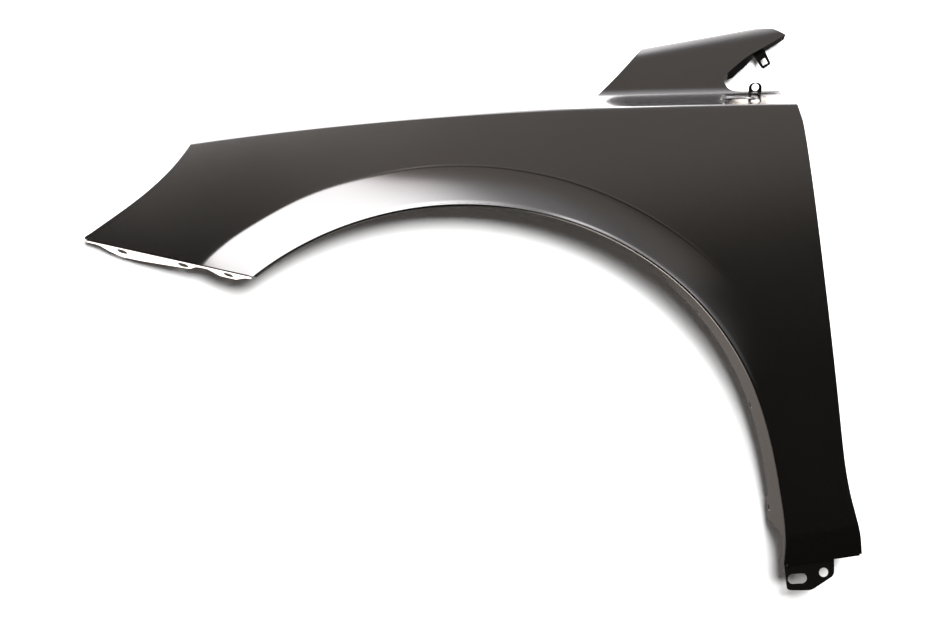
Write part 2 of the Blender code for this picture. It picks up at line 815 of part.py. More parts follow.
def build_notch_flange(bm, line, shares):
    """The flange along the upper edge of the notch, turned inboard and spread into the opening."""
    root = places(line)
    for part in NOTCH_ROW_SHARES:
        line = turn_edge(bm, line)
        for vert, foot, share in zip(line, root, shares):
            vert.co = foot + notch_flange_reach(share) * part
    return places(line)


def foot_height(x):
    """Height of the bottom edge of the leg."""
    start, end = lip_point(ARCH_FOOT_ANGLE), door_point(ARCH_FOOT_ANGLE)
    return start.y + (end.y - start.y) * (x - start.x) / (end.x - start.x)


def build_foot_flange(bm, line):
    """The bottom edge turned inboard, back to the plane of the sill tab."""
    plane = max(vert.co.y for vert in line) + TAB_SETBACK
    line = turn_edge(bm, line, (0, FOLD_RADIUS, 0))
    for vert in turn_edge(bm, line):
        vert.co.y = plane + SHEET_THICKNESS / 2
    return plane


def shaded(bm):
    """Marks the round faces smooth, and the folds and cut edges sharp."""
    for face in bm.faces:
        face.smooth = True
    limit = math.radians(SHARP_ANGLE)
    for edge in bm.edges:
        edge.smooth = not edge.is_boundary and edge.calc_face_angle() < limit
    return bm


def new_object(name, bm, collection):
    mesh = bpy.data.meshes.new(name)
    bm.to_mesh(mesh)
    bm.free()
    obj = bpy.data.objects.new(name, mesh)
    collection.objects.link(obj)
    return obj


def new_tool(name, bm, collection):
    """A helper that joins or cuts the panel and isn't part of it."""
    bmesh.ops.recalc_face_normals(bm, faces=bm.faces)
    tool = new_object(name, bm, collection)
    tool.hide_render = True
    tool.display_type = "WIRE"
    return tool


def placed(centre, normal, along):
    """Matrix of a frame whose Z is the normal and whose X lies nearest to the given way."""
    normal = Vector(normal).normalized()
    along = (Vector(along) - normal * Vector(along).dot(normal)).normalized()
    side = normal.cross(along)
    return Matrix.Translation(centre) @ Matrix((along, side, normal)).transposed().to_4x4()


def plate(name, outline, rounded, radius, frame):
    """A flat tab of sheet: an outline in its own plane with these corners rounded, drawn up."""
    bm = bmesh.new()
    verts = [bm.verts.new((x, y, 0)) for x, y in outline]
    bm.faces.new(verts)
    corners = [verts[index] for index in rounded]
    bmesh.ops.bevel(
        bm, geom=corners, offset=radius, segments=CORNER_SEGMENTS, profile=0.5, affect="VERTICES"
    )
    made = bmesh.ops.extrude_face_region(bm, geom=list(bm.faces))["geom"]
    raised = [item for item in made if isinstance(item, bmesh.types.BMVert)]
    bmesh.ops.translate(bm, vec=(0, 0, SHEET_THICKNESS), verts=raised)
    bmesh.ops.transform(bm, matrix=frame, verts=bm.verts)
    return new_tool(name, bm, blanks)


def punch(name, frame, length, width):
    """A punch for a round hole, or for a slot with round ends where its length is more."""
    bm = bmesh.new()
    half_side = Matrix.Rotation(math.pi / HOLE_SIDES, 4, "Z")
    bmesh.ops.create_cone(
        bm,
        cap_ends=True,
        segments=HOLE_SIDES,
        radius1=width / 2,
        radius2=width / 2,
        depth=2 * OVERRUN,
        matrix=half_side,
    )
    for vert in bm.verts:
        vert.co.x += math.copysign((length - width) / 2, vert.co.x)
    bmesh.ops.transform(bm, matrix=frame, verts=bm.verts)
    return new_tool(name, bm, punches)


def square_punch(name, frame, length, width, radius):
    """A punch for a hole with rounded corners."""
    bm = bmesh.new()
    bmesh.ops.create_cube(bm, size=1, matrix=Matrix.Diagonal((length, width, 2 * OVERRUN, 1)))
    upright = [edge for edge in bm.edges if edge.verts[0].co.xy == edge.verts[1].co.xy]
    bmesh.ops.bevel(
        bm, geom=upright, offset=radius, segments=CORNER_SEGMENTS, profile=0.5, affect="EDGES"
    )
    bmesh.ops.transform(bm, matrix=frame, verts=bm.verts)
    return new_tool(name, bm, punches)


def flange_frame(root, share, way, reach):
    """Frame on a flange at this share of the line of its root and this far along its width."""
    place, along = along_line(root, share)
    way = Vector(way).normalized()
    return placed(place + way * reach, along.cross(way), along)


for item in list(bpy.data.objects):
    bpy.data.objects.remove(item, do_unlink=True)

fender = bpy.data.collections.new("car_fender")
blanks = bpy.data.collections.new("tab_blanks")
punches = bpy.data.collections.new("punches")
for collection in (fender, blanks, punches):
    bpy.context.scene.collection.children.link(collection)

# The pressed sheet: side skin, ledge behind the shoulder crease, ear and notch
sheet = bmesh.new()
side = build_side(sheet)
hood_station = TIP_STATIONS + HEADLIGHT_STEPS - 1
ear_station = hood_station + FRONT_STEPS
apex_station = ear_station + EAR_STEPS
corner_station = apex_station + len(NOTCH_COLUMN_SHARES)
ledge = build_ledge(sheet, [section[-1] for section in side[hood_station : apex_station + 1]])
ear = build_ear(sheet, [column[-1] for column in ledge[FRONT_STEPS:]])
rear_line = [section[-1] for section in side[apex_station + 1 : corner_station + 1]]
sill, tail = build_notch(sheet, ledge[-1] + ear[-1][1:], rear_line)

# The flanges around it
bumper_root = build_bumper_flange(sheet, side[0])
headlight_line = [section[-1] for section in side[TIP_STATIONS:hood_station]]
build_plain_flange(sheet, headlight_line, (0, 1, 0), HEADLIGHT_FLANGE)
gap_line = [column[-1] for column in ledge[1 : FRONT_STEPS + 1]]
rail_middle, rail_edge = build_rail_flange(sheet, gap_line)
build_plain_flange(sheet, ear[0][1:-1], (0, 1, 0), EAR_FLANGE)
top_line = [column[-1] for column in ear[1:]] + [column[-1] for column in tail[1:-1]]
build_plain_flange(sheet, top_line, (0, 1, -EAR_FLANGE_FALL), EAR_FLANGE)
notch_rim = build_notch_flange(sheet, [column[0] for column in tail[2:]], NOTCH_COLUMN_SHARES[1:])
sill_line = [column[-1] for column in sill[8:]]
sill_root = build_plain_flange(sheet, sill_line, (0, SILL_FLANGE_LEAN, -1), EAR_FLANGE)
door_line = [section[-1] for section in side[corner_station + 2 : -2]]
door_root = build_plain_flange(sheet, door_line, (0, 1, 0), PILLAR_EAR, PILLAR_EAR_SHARES)
tab_plane = build_foot_flange(sheet, side[-1][CREST_ROW + 1 : -1])

# The sill tab, hanging from the turned-in bottom edge, with its slot and hole
foot = lip_point(ARCH_FOOT_ANGLE)
tab_front = foot.x + TAB_FRONT_SETBACK
tab_rear = tab_front + TAB_LENGTH
tab_top_front = (tab_front, foot_height(tab_front) + TAB_ROOT_LAP)
tab_top_rear = (tab_rear, foot_height(tab_rear) + TAB_ROOT_LAP)
tab_foot_front = (tab_front + TAB_FRONT_SLANT, foot.y - TAB_DROP)
tab_foot_rear = (tab_front + TAB_SLANT_LENGTH, foot.y - TAB_DROP)
tab_slant_end = (tab_rear, foot.y - TAB_SLANT_DROP)
tab_outline = [tab_top_front, tab_foot_front, tab_foot_rear, tab_slant_end, tab_top_rear]
tab_frame = placed((0, tab_plane + SHEET_THICKNESS, 0), (0, -1, 0), (1, 0, 0))
plate("sill_tab", tab_outline, (1, 2, 3), TAB_CORNER_RADIUS, tab_frame)
slot_turn = Matrix.Rotation(math.radians(SLOT_TILT), 4, "Z")
slot_place = (tab_front + SLOT_SETBACK, foot.y - SLOT_DROP, 0)
slot_frame = tab_frame @ Matrix.Translation(slot_place) @ slot_turn
punch("sill_slot", slot_frame, SLOT_LENGTH, SLOT_WIDTH)
hole_place = (tab_front + TAB_HOLE_SETBACK, foot.y - TAB_HOLE_DROP, 0)
hole_frame = tab_frame @ Matrix.Translation(hole_place)
punch("sill_hole", hole_frame, TAB_HOLE, TAB_HOLE)

# The clip tab with its square hole, hanging into the notch from the free edge of its flange
clip_place, clip_along = along_line(notch_rim, CLIP_TAB_SHARE)
clip_facing = clip_along.cross(Vector((0, 0, 1))).normalized()
clip_frame = placed(clip_place - clip_facing * SHEET_THICKNESS / 2, clip_facing, clip_along)
clip_outline = [
    (-CLIP_TAB_WIDTH / 2, TAB_ROOT_LAP),
    (-CLIP_TAB_END_WIDTH / 2, -CLIP_TAB_LENGTH),
    (CLIP_TAB_END_WIDTH / 2, -CLIP_TAB_LENGTH),
    (CLIP_TAB_WIDTH / 2, TAB_ROOT_LAP),
]
plate("clip_tab", clip_outline, (1, 2), CLIP_TAB_RADIUS, clip_frame)
clip_hole_frame = clip_frame @ Matrix.Translation((0, -CLIP_HOLE_DROP, 0))
square_punch("clip_hole", clip_hole_frame, CLIP_HOLE, CLIP_HOLE, CLIP_HOLE_RADIUS)

# The lug with its round hole, standing on the sill of the notch
lug_place, lug_along = along_line(sill_root, LUG_SHARE)
lug_up = Vector((0, -LUG_LEAN, 1)).normalized()
lug_facing = lug_along.cross(lug_up).normalized()
lug_frame = placed(lug_place - lug_facing * SHEET_THICKNESS / 2, lug_facing, lug_along)
lug_outline = [
    (-LUG_WIDTH / 2, -TAB_ROOT_LAP),
    (LUG_WIDTH / 2, -TAB_ROOT_LAP),
    (LUG_WIDTH / 2, LUG_HEIGHT),
    (-LUG_WIDTH / 2, LUG_HEIGHT),
]
plate("lug", lug_outline, (2, 3), LUG_RADIUS, lug_frame)
punch("lug_hole", lug_frame @ Matrix.Translation((0, LUG_HOLE_RISE, 0)), LUG_HOLE, LUG_HOLE)

# Holes for the bumper, along the engine bay, to the pillar and for the arch liner
bumper_way = bumper_direction()
for number, share in enumerate(BUMPER_HOLE_SHARES, 1):
    frame = flange_frame(bumper_root, share, bumper_way, BUMPER_HOLE_DROP)
    punch(f"bumper_hole_{number}", frame, BUMPER_HOLE_LENGTH, BUMPER_HOLE_WIDTH)
slot_frame = flange_frame(bumper_root, BUMPER_SLOT_SHARE, bumper_way, BUMPER_SLOT_DROP)
punch("bumper_slot", slot_frame, BUMPER_SLOT_LENGTH, BUMPER_SLOT_WIDTH)
for number, share in enumerate(RAIL_HOLE_SHARES, 1):
    punch(f"rail_hole_{number}", flange_frame(rail_middle, share, (0, 1, 0), 0), RAIL_HOLE, RAIL_HOLE)
for number, share in enumerate(SCALLOP_SHARES, 1):
    frame = flange_frame(rail_edge, share, (0, 1, 0), 0)
    square_punch(f"rail_scallop_{number}", frame, SCALLOP_LENGTH, 2 * SCALLOP_DEPTH, SCALLOP_RADIUS)
for number, share in enumerate(PILLAR_HOLE_SHARES, 1):
    frame = flange_frame(door_root, share, (0, 1, 0), PILLAR_HOLE_DEPTH)
    punch(f"pillar_hole_{number}", frame, PILLAR_HOLE, PILLAR_HOLE)
for number, angle in enumerate(LINER_HOLE_ANGLES, 1):
    foot = lip_point(angle)
    rim = on_face(foot).y + FOLD_RADIUS + hem_depth(angle)
    frame = placed((foot.x, rim - LINER_HOLE_INSET, foot.y), (foot.x, 0, foot.y), (0, 1, 0))
    punch(f"liner_hole_{number}", frame, LINER_HOLE, LINER_HOLE)

# The finished panel
panel = new_object("fender_panel", shaded(sheet), fender)
thicken = panel.modifiers.new("sheet_thickness", "SOLIDIFY")
thicken.thickness = SHEET_THICKNESS
thicken.offset = -1
thicken.use_even_offset = True
for name, operation, tools in (("tabs", "UNION", blanks), ("holes", "DIFFERENCE", punches)):
    cut = panel.modifiers.new(name, "BOOLEAN")
    cut.operation = operation
    cut.operand_type = "COLLECTION"
    cut.collection = tools
    cut.solver = "EXACT"

primer = bpy.data.materials.new("black_primer")
primer.use_nodes = True
shader = primer.node_tree.nodes["Principled BSDF"]
shader.inputs["Base Color"].default_value = (*PRIMER_COLOUR, 1)
shader.inputs["Roughness"].default_value = PRIMER_ROUGHNESS
shader.inputs["Metallic"].default_value = 0
panel.data.materials.append(primer)

# The origin goes to the underside of the rail flange, where the panel rests on its rail
rest_place, rest_along = along_line(rail_middle, RAIL_MOUNT_SHARE)
rail_normal = rest_along.cross(Vector((0, 1, 0))).normalized()
arch_centre = bpy.data.objects.new("arch_centre", None)
fender.objects.link(arch_centre)
arch_centre.location = rail_normal * SHEET_THICKNESS - rest_place
for item in (panel, *blanks.objects, *punches.objects):
    item.parent = arch_centre
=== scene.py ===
"""A black-primed steel front fender, left side, as it comes out of its box, on a white table."""

import json
import math

import bpy
from mathutils import Matrix, Vector

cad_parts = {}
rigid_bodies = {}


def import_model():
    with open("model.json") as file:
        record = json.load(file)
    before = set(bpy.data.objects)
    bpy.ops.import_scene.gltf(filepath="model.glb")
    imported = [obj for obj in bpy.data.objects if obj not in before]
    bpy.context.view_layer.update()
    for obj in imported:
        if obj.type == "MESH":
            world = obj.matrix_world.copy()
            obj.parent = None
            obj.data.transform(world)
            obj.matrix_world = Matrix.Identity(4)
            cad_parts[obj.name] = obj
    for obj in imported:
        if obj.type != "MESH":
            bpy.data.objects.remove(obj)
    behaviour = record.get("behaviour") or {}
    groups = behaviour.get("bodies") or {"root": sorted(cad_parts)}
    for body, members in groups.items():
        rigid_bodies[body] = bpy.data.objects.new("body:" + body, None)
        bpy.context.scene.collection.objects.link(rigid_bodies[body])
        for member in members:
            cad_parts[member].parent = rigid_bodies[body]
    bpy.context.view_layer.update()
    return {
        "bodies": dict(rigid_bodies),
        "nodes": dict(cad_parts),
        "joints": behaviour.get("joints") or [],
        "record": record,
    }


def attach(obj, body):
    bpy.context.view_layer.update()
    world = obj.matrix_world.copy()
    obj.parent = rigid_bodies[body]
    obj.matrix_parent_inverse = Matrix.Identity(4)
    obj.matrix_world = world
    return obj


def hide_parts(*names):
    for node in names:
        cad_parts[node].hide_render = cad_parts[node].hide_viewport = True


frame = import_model()

# The outer skin. It is one sheet of drawn steel: a side that sweeps in to the front and leans in to
# the top, a flared band with a bead and a hem around the wheel arch, and a kick at the foot of the
# leg. All that faces outboard is one smooth surface, a depth over places seen from the arch's centre.
sheet_thickness = 0.0008
arch_centre = Vector((0.0738047, -0.0878940, -0.4624449))
fold_radius = 0.0021
front_sweep = 0.100
sweep_length = 0.600
sweep_start = 0.150
lean_radius = 1.500
lean_centre = 0.100
arch_radius = 0.372
arch_front_angle = 130.8
arch_foot_angle = -7.1
lip_radius_shares = (
    (-7, 1.000),
    (0, 0.988),
    (7, 0.977),
    (16, 0.977),
    (30, 0.990),
    (44, 0.999),
    (62, 1.001),
    (85, 0.999),
    (105, 1.005),
    (120, 1.016),
    (131, 1.028),
)
band_width = 0.050
band_width_shares = (
    (-7, 0.50),
    (0, 0.55),
    (16, 0.72),
    (30, 0.83),
    (44, 0.93),
    (62, 0.94),
    (85, 0.98),
    (105, 1.03),
    (116, 1.09),
    (125, 1.12),
    (131, 1.17),
    (136, 1.21),
    (145, 1.10),
)
flare_depth = 0.014
flare_shares = (
    (-7, 0.28),
    (0, 0.33),
    (16, 0.48),
    (30, 0.64),
    (44, 0.72),
    (60, 0.73),
    (85, 0.71),
    (93, 0.78),
    (100, 0.90),
    (112, 1.18),
    (125, 1.45),
    (145, 1.50),
)
flare_start_slopes = (
    (-7, 0.03),
    (16, 0.06),
    (30, 0.10),
    (44, 0.10),
    (58, -0.03),
    (70, -0.05),
    (85, -0.03),
    (100, 0.06),
    (112, 0.22),
    (125, 0.33),
    (145, 0.33),
)
crease_bend = 0.0028  # the crease has a fine ridge along it, which fades out towards the front
ridge_width = 0.0016
ridge_rise = 0.00016
ridge_shares = ((40, 0.5), (60, 1), (98, 1), (106, 0))
bead_width = 0.0044
bead_rise = 0.0014
bead_shares = ((-5, 0.2), (-2, 0.8), (40, 0.8), (55, 1), (131, 1))
bead_wave = 0.04
tip = Vector((-0.481, 0.340))
tip_radius = 0.0055
hood_corner = Vector((-0.342, 0.455))
hood_corner_angle = 122.0
headlight_bow = 0.0095
headlight_skew = 0.5
door_corner = Vector((0.3955, 0.4948))
door_corner_angle = 55.0
door_foot = Vector((0.4605, -0.0334))
shoulder_bow = 0.0085
shoulder_skew = 0.12
roll_radii = ((0, 0.0050), (0.60, 0.0036), (0.74, 0.0018), (1, 0.0015))
door_edge_shares = (
    (0, 0),
    (0.03, 0.07),
    (0.13, 0.155),
    (0.40, 0.335),
    (0.66, 0.526),
    (0.79, 0.635),
    (0.86, 0.735),
    (0.92, 0.865),
    (0.96, 0.95),
    (1, 1),
)
door_drop_shares = (
    (-7.1, 1),
    (-2.1, 0.937),
    (2.4, 0.885),
    (8, 0.815),
    (16, 0.71),
    (24.5, 0.59),
    (33.5, 0.45),
    (43, 0.27),
    (55, 0),
)
kick_angle = -2.1
kick_slope = 0.21
kick_bend = 0.003
ledge_rise = 0.022
ledge_rise_shares = (
    (0, 0.27),
    (0.70, 0.27),
    (0.77, 0.30),
    (0.84, 0.37),
    (0.91, 0.49),
    (0.96, 0.69),
    (1, 1),
)
ledge_turn = 1.85
ear_turn = 1.93
fillet_bend = 0.009
ear_foot_back = 0.158
ear_top_front = Vector((0.2164, 0.5742))
ear_top_rear = Vector((0.3600, 0.6012))
ear_tip = Vector((0.3954, 0.5917))
ear_front_bow = 0.0025
ear_band_height = 0.0075
ear_band_turn = 0.75
ear_band_bend = 0.005
notch_apex = Vector((0.3162, 0.5329))
dish_setback = 0.0120
dish_rise = 0.0095
dish_length = 0.0400
dish_height = 0.0110
dish_depth = 0.0030
dish_rim = (0.85, 1.45)  # from here to here its depth runs out, in half lengths from its middle


def smooth(table, place):
    """Value of a table of pairs at a place, along a smooth curve through them."""
    if place <= table[0][0]:
        return table[0][1]
    if place >= table[-1][0]:
        return table[-1][1]
    last = len(table) - 1
    at = max(index for index in range(last) if table[index][0] <= place)

    def slope(index):
        low, high = max(index - 1, 0), min(index + 1, last)
        return (table[high][1] - table[low][1]) / (table[high][0] - table[low][0])

    run = table[at + 1][0] - table[at][0]
    t = (place - table[at][0]) / run
    start, end = table[at][1], table[at + 1][1]
    blend = start * (1 + 2 * t) * (1 - t) ** 2 + end * (3 - 2 * t) * t**2
    return blend + run * slope(at) * t * (1 - t) ** 2 - run * slope(at + 1) * t**2 * (1 - t)


def straight(table, place):
    """Value of a table of pairs at a place, along straight lines between them."""
    for (low, start), (high, end) in zip(table, table[1:]):
        if place <= high:
            return start + (end - start) * max(0.0, place - low) / (high - low)
    return table[-1][1]


def bend(distance, half):
    """Nothing before the bend, then a round turn of twice this half width into a slope of one."""
    if distance <= -half:
        return 0.0
    if distance >= half:
        return distance
    return (distance + half) ** 2 / (4 * half)


def bowed(start, end, bow, share, skew=0.0):
    """Point on a line from start to end that bows to its left by this much."""
    run = end - start
    left = Vector((-run.y, run.x)).normalized()
    return start + run * share + left * bow * 4 * share * (1 - share) * (1 + skew * (1 - 2 * share))


def lip_radius(angle):
    return arch_radius * smooth(lip_radius_shares, angle)


def band_reach(angle):
    return band_width * smooth(band_width_shares, angle)


def lip_point(angle):
    turn = math.radians(angle)
    return Vector((math.cos(turn), math.sin(turn))) * lip_radius(angle)


def shoulder_share(x):
    return min(max((x - hood_corner.x) / (door_corner.x - hood_corner.x), 0.0), 1.0)


def shoulder_height(x):
    return bowed(hood_corner, door_corner, shoulder_bow, shoulder_share(x), shoulder_skew).y


def ledge_height(x):
    return ledge_rise * smooth(ledge_rise_shares, (x - hood_corner.x) / (ear_foot_back - hood_corner.x))


def ear_top_height(x):
    share = (x - ear_top_front.x) / (ear_top_rear.x - ear_top_front.x)
    return ear_top_front.y + (ear_top_rear.y - ear_top_front.y) * share


def door_point(angle):
    share = smooth(door_drop_shares, angle)
    back = door_corner.x + (door_foot.x - door_corner.x) * smooth(door_edge_shares, share)
    return Vector((back, door_corner.y + (door_foot.y - door_corner.y) * share))


kick_start = lip_point(kick_angle)
kick_run = (door_point(kick_angle) - kick_start).normalized()


def flare(x, z):
    """How far the band around the arch stands out from the skin."""
    angle = math.degrees(math.atan2(z, x))
    inside = lip_radius(angle) + band_reach(angle) - math.hypot(x, z)
    if inside <= -crease_bend:
        return 0.0
    slope = smooth(flare_start_slopes, angle)
    rest = flare_depth * smooth(flare_shares, angle) - slope * band_reach(angle)
    wave = (1 + math.cos(math.pi * min(abs(inside) / ridge_width, 1.0))) / 2
    ridge = ridge_rise * straight(ridge_shares, angle) * wave
    return ridge + slope * bend(inside, crease_bend) + rest * (max(inside, 0.0) / band_reach(angle)) ** 2


def dish(x, z):
    """Depth of the shallow oval dish in the ledge under the notch."""
    back = notch_apex.x + dish_setback
    across = 2 * (x - back) / dish_length
    up = 2 * (z - shoulder_height(back) - dish_rise) / dish_height
    inner, outer = dish_rim
    share = min(max((outer - math.hypot(across, up)) / (outer - inner), 0.0), 1.0)
    return dish_depth * share * share * (3 - 2 * share)


def depth(x, z):
    """How far inboard the outer face lies at this place, seen square from the side."""
    swept = max(0.0, sweep_start - x) / sweep_length
    inboard = front_sweep * swept**2 + (z - lean_centre) ** 2 / (2 * lean_radius)
    if x > 0:
        below = kick_run.y * (x - kick_start.x) - kick_run.x * (z - kick_start.y)
        inboard += kick_slope * bend(below, kick_bend)
    above = z - shoulder_height(x)
    roll = straight(roll_radii, shoulder_share(x))
    inboard += ledge_turn * bend(above - roll, roll)
    inboard -= ear_turn * bend(above - ledge_rise, fillet_bend)
    inboard += ear_band_turn * bend(z - ear_top_height(x) + ear_band_height, ear_band_bend)
    return inboard + dish(x, z) - flare(x, z)


def on_face(place):
    return Vector((place.x, depth(place.x, place.y), place.y))


def steps(start, end, count):
    """Even steps after start, up to and with end."""
    return [start + (end - start) * (step + 1) / count for step in range(count)]


patches = []


def patch(name, columns):
    """A grid whose points are put on these columns of places, ready to be joined to its neighbours."""
    across, along = len(columns) - 1, len(columns[0]) - 1
    bpy.ops.mesh.primitive_grid_add(x_subdivisions=across, y_subdivisions=along, size=2)
    piece = bpy.context.active_object
    piece.name = name
    for vert in piece.data.vertices:
        column = columns[round((vert.co.x + 1) / 2 * across)]
        vert.co = column[round((vert.co.y + 1) / 2 * along)]
    patches.append(piece)
    return piece


# The wide flange behind the rear half of the arch carries the plastic liner; the rest of the arch
# has a narrow hem. Both turn inboard round the lip.
hem_depth = 0.014
liner_flange_depth = 0.066
liner_ear_depth = 0.086
hem_shares = (
    (-1.8, hem_depth),
    (-0.6, liner_ear_depth),
    (3.6, liner_ear_depth),
    (4.6, liner_flange_depth),
    (48.5, liner_flange_depth),
    (53.4, hem_depth),
)


def crease_share(start, end):
    """Share of the way from the lip to the outer edge at which the band meets the skin."""
    low, high = 0.0, 1.0
    for _ in range(24):
        middle = (low + high) / 2
        place = start.lerp(end, middle)
        angle = math.degrees(math.atan2(place.y, place.x))
        if place.length < lip_radius(angle) + band_reach(angle):
            low = middle
        else:
            high = middle
    return high


def side_column(angle, end):
    """Places across the side, from the free edge of the hem, round the lip, to the outer edge."""
    start = lip_point(angle)
    across = (end - start).normalized()
    crest = on_face(start + across * fold_radius).y - bead_rise * straight(bead_shares, angle)
    hem = straight(hem_shares, angle)
    column = []
    for share in (1.0, 0.8, 0.6, 0.4, 0.2, 0.08):
        column.append(Vector((start.x, crest + fold_radius + hem * share, start.y)))
    for turn in (90, 75, 60, 45, 30, 15):
        place = start + across * fold_radius * (1 - math.sin(math.radians(turn)))
        inboard = fold_radius * (1 - math.cos(math.radians(turn)))
        column.append(Vector((place.x, crest + inboard, place.y)))
    for share in [0.0] + steps(0.0, 5 / 6, 5):
        place = start + across * (fold_radius + (bead_width - fold_radius) * share)
        face = on_face(place).y
        drop = 1 - share + bead_wave * math.sin(2 * math.pi * share)
        column.append(Vector((place.x, face + (crest - face) * drop, place.y)))
    root = start + across * bead_width
    crease = start.lerp(end, crease_share(start, end))
    near, beyond = crease - across * crease_bend, crease + across * crease_bend
    for share in [0.0] + steps(0.0, 1.0, 12):
        column.append(on_face(root.lerp(near, share)))
    for share in steps(0.0, 1.0, 8):
        column.append(on_face(near.lerp(beyond, share)))
    for share in steps(0.0, 1.0, 26):
        column.append(on_face(beyond.lerp(end, share)))
    return column


to_arch = (lip_point(arch_front_angle) - tip).normalized()
to_hood = (hood_corner - tip).normalized()
ends = []
for turn in (0.0, 0.25, 0.5, 0.75, 1.0):
    low, high = tip + to_arch * tip_radius * (1 - turn), tip + to_hood * tip_radius * turn
    ends.append(low.lerp(high, turn))
first = tip_radius / (hood_corner - tip).length
for share in steps(first, 1.0, 30):
    ends.append(bowed(tip, hood_corner, -headlight_bow, share, -headlight_skew))
run = (hood_corner - ends[0]).length
headlight = []
for place in ends:
    share = (place - ends[0]).length / run
    headlight.append((arch_front_angle + (hood_corner_angle - arch_front_angle) * share, place))

gap_steps = 120
ear_steps = 36
notch_shares = [0.01, 0.02, 0.04, 0.06, 0.09, 0.12, 0.15] + steps(0.15, 1.0, 48)
backs = steps(hood_corner.x, ear_foot_back, gap_steps)
backs += steps(ear_foot_back, notch_apex.x, ear_steps)
backs += [notch_apex.x + (door_corner.x - notch_apex.x) * share for share in notch_shares]
shoulder = []
for back in backs:
    angle = hood_corner_angle + (door_corner_angle - hood_corner_angle) * shoulder_share(back)
    shoulder.append((angle, Vector((back, shoulder_height(back)))))

angles = [53.4] + steps(53.4, 48.5, 8) + steps(48.5, 4.6, 72) + steps(4.6, 3.6, 3)
angles += steps(3.6, -0.6, 9) + steps(-0.6, -1.8, 4) + steps(-1.8, -2.1, 1) + steps(-2.1, arch_foot_angle, 14)
door = [(angle, door_point(angle)) for angle in angles]

side = [side_column(angle, end) for angle, end in headlight + shoulder + door]
patch("side", side)

# The shoulder rolls over into a narrow ledge along the hood gap, which widens to the rear. The ear
# rises from it to the windscreen pillar, and a notch between the two takes the small corner window.
notch_foot = Vector((0.3826, 0.5197))
notch_sill_shares = (
    (0, 0),
    (0.02, 0.35),
    (0.06, 0.70),
    (0.17, 1.02),
    (0.40, 1.08),
    (0.75, 1.05),
    (1, 1),
)
notch_top_shares = (
    (0, 0),
    (0.02, 0.09),
    (0.155, 0.27),
    (0.30, 0.435),
    (0.43, 0.56),
    (0.60, 0.69),
    (0.78, 0.83),
    (1, 1),
)
tail_drop_shares = ((0, 0), (0.45, 0.02), (0.62, 0.10), (1, 0.88))
tail_reach = 0.97


def sill_point(share):
    height = notch_apex.y + (notch_foot.y - notch_apex.y) * smooth(notch_sill_shares, share)
    return Vector((notch_apex.x + (notch_foot.x - notch_apex.x) * share, height))


def notch_top_point(share):
    rise = (ear_tip.y - notch_apex.y) * smooth(notch_top_shares, share)
    return Vector((notch_apex.x + (ear_tip.x - notch_apex.x) * share, notch_apex.y + rise))


def tail_top_point(share):
    back = notch_apex.x + (ear_tip.x - notch_apex.x) * share
    if back <= ear_top_rear.x:
        return Vector((back, ear_top_height(back)))
    past = (back - ear_top_rear.x) / (ear_tip.x - ear_top_rear.x)
    drop = (ear_top_rear.y - ear_tip.y) * straight(tail_drop_shares, past)
    return Vector((ear_top_rear.x + (ear_tip.x - ear_top_rear.x) * tail_reach * past, ear_top_rear.y - drop))


hood_station = len(headlight) - 1
ear_station = hood_station + gap_steps
apex_station = ear_station + ear_steps
corner_station = apex_station + len(notch_shares)
ledge_shares = [0.03, 0.07, 0.11, 0.15, 0.19, 0.23, 0.27, 0.31, 0.35, 0.40, 0.46, 0.52, 0.60, 0.70, 0.85, 1.0]
ledge = []
for column in side[hood_station : apex_station + 1]:
    back, foot = column[-1].x, shoulder_height(column[-1].x)
    places = [Vector((back, foot + ledge_height(back) * share)) for share in ledge_shares]
    ledge.append([column[-1]] + [on_face(place) for place in places])
patch("ledge", ledge)

apex_rise = notch_apex.y - shoulder_height(notch_apex.x) - ledge_rise
ear_foot = Vector((ear_foot_back, shoulder_height(ear_foot_back) + ledge_rise))
ear = []
for index, low_column in enumerate(ledge[gap_steps:]):
    share = index / ear_steps
    foot = low_column[-1]
    top = ear_top_height(ear_top_front.x + (notch_apex.x - ear_top_front.x) * share) - foot.z
    band = top - ear_band_height - ear_band_bend
    rises = steps(0.0, apex_rise, 8) + steps(apex_rise, band, 8)
    rises += steps(band, band + 2 * ear_band_bend, 4) + steps(band + 2 * ear_band_bend, top, 4)
    column = [foot]
    for rise in rises:
        edge = bowed(ear_foot, ear_top_front, -ear_front_bow, rise / top).x
        column.append(on_face(Vector((edge + (notch_apex.x - edge) * share, foot.z + rise))))
    ear.append(column)
patch("ear", ear)

apex_column = ledge[-1] + ear[-1][1:]
low_count = len(ledge_shares) + 8
apex_foot = apex_column[0].z
low_height = apex_column[low_count].z - apex_foot
low_rises = [(place.z - apex_foot) / low_height for place in apex_column[: low_count + 1]]
tail_foot, tail_top = apex_column[low_count].z, apex_column[-1].z
high_rises = [(place.z - tail_foot) / (tail_top - tail_foot) for place in apex_column[low_count:]]
sill, tail = [apex_column[: low_count + 1]], [apex_column[low_count:]]
for share, column in zip(notch_shares, side[apex_station + 1 : corner_station + 1]):
    start, end = Vector((column[-1].x, column[-1].z)), sill_point(share)
    sill.append([column[-1]] + [on_face(start.lerp(end, rise)) for rise in low_rises[1:]])
    start, end = notch_top_point(share), tail_top_point(share)
    tail.append([on_face(start.lerp(end, rise)) for rise in high_rises])
patch("sill", sill)
patch("tail", tail)

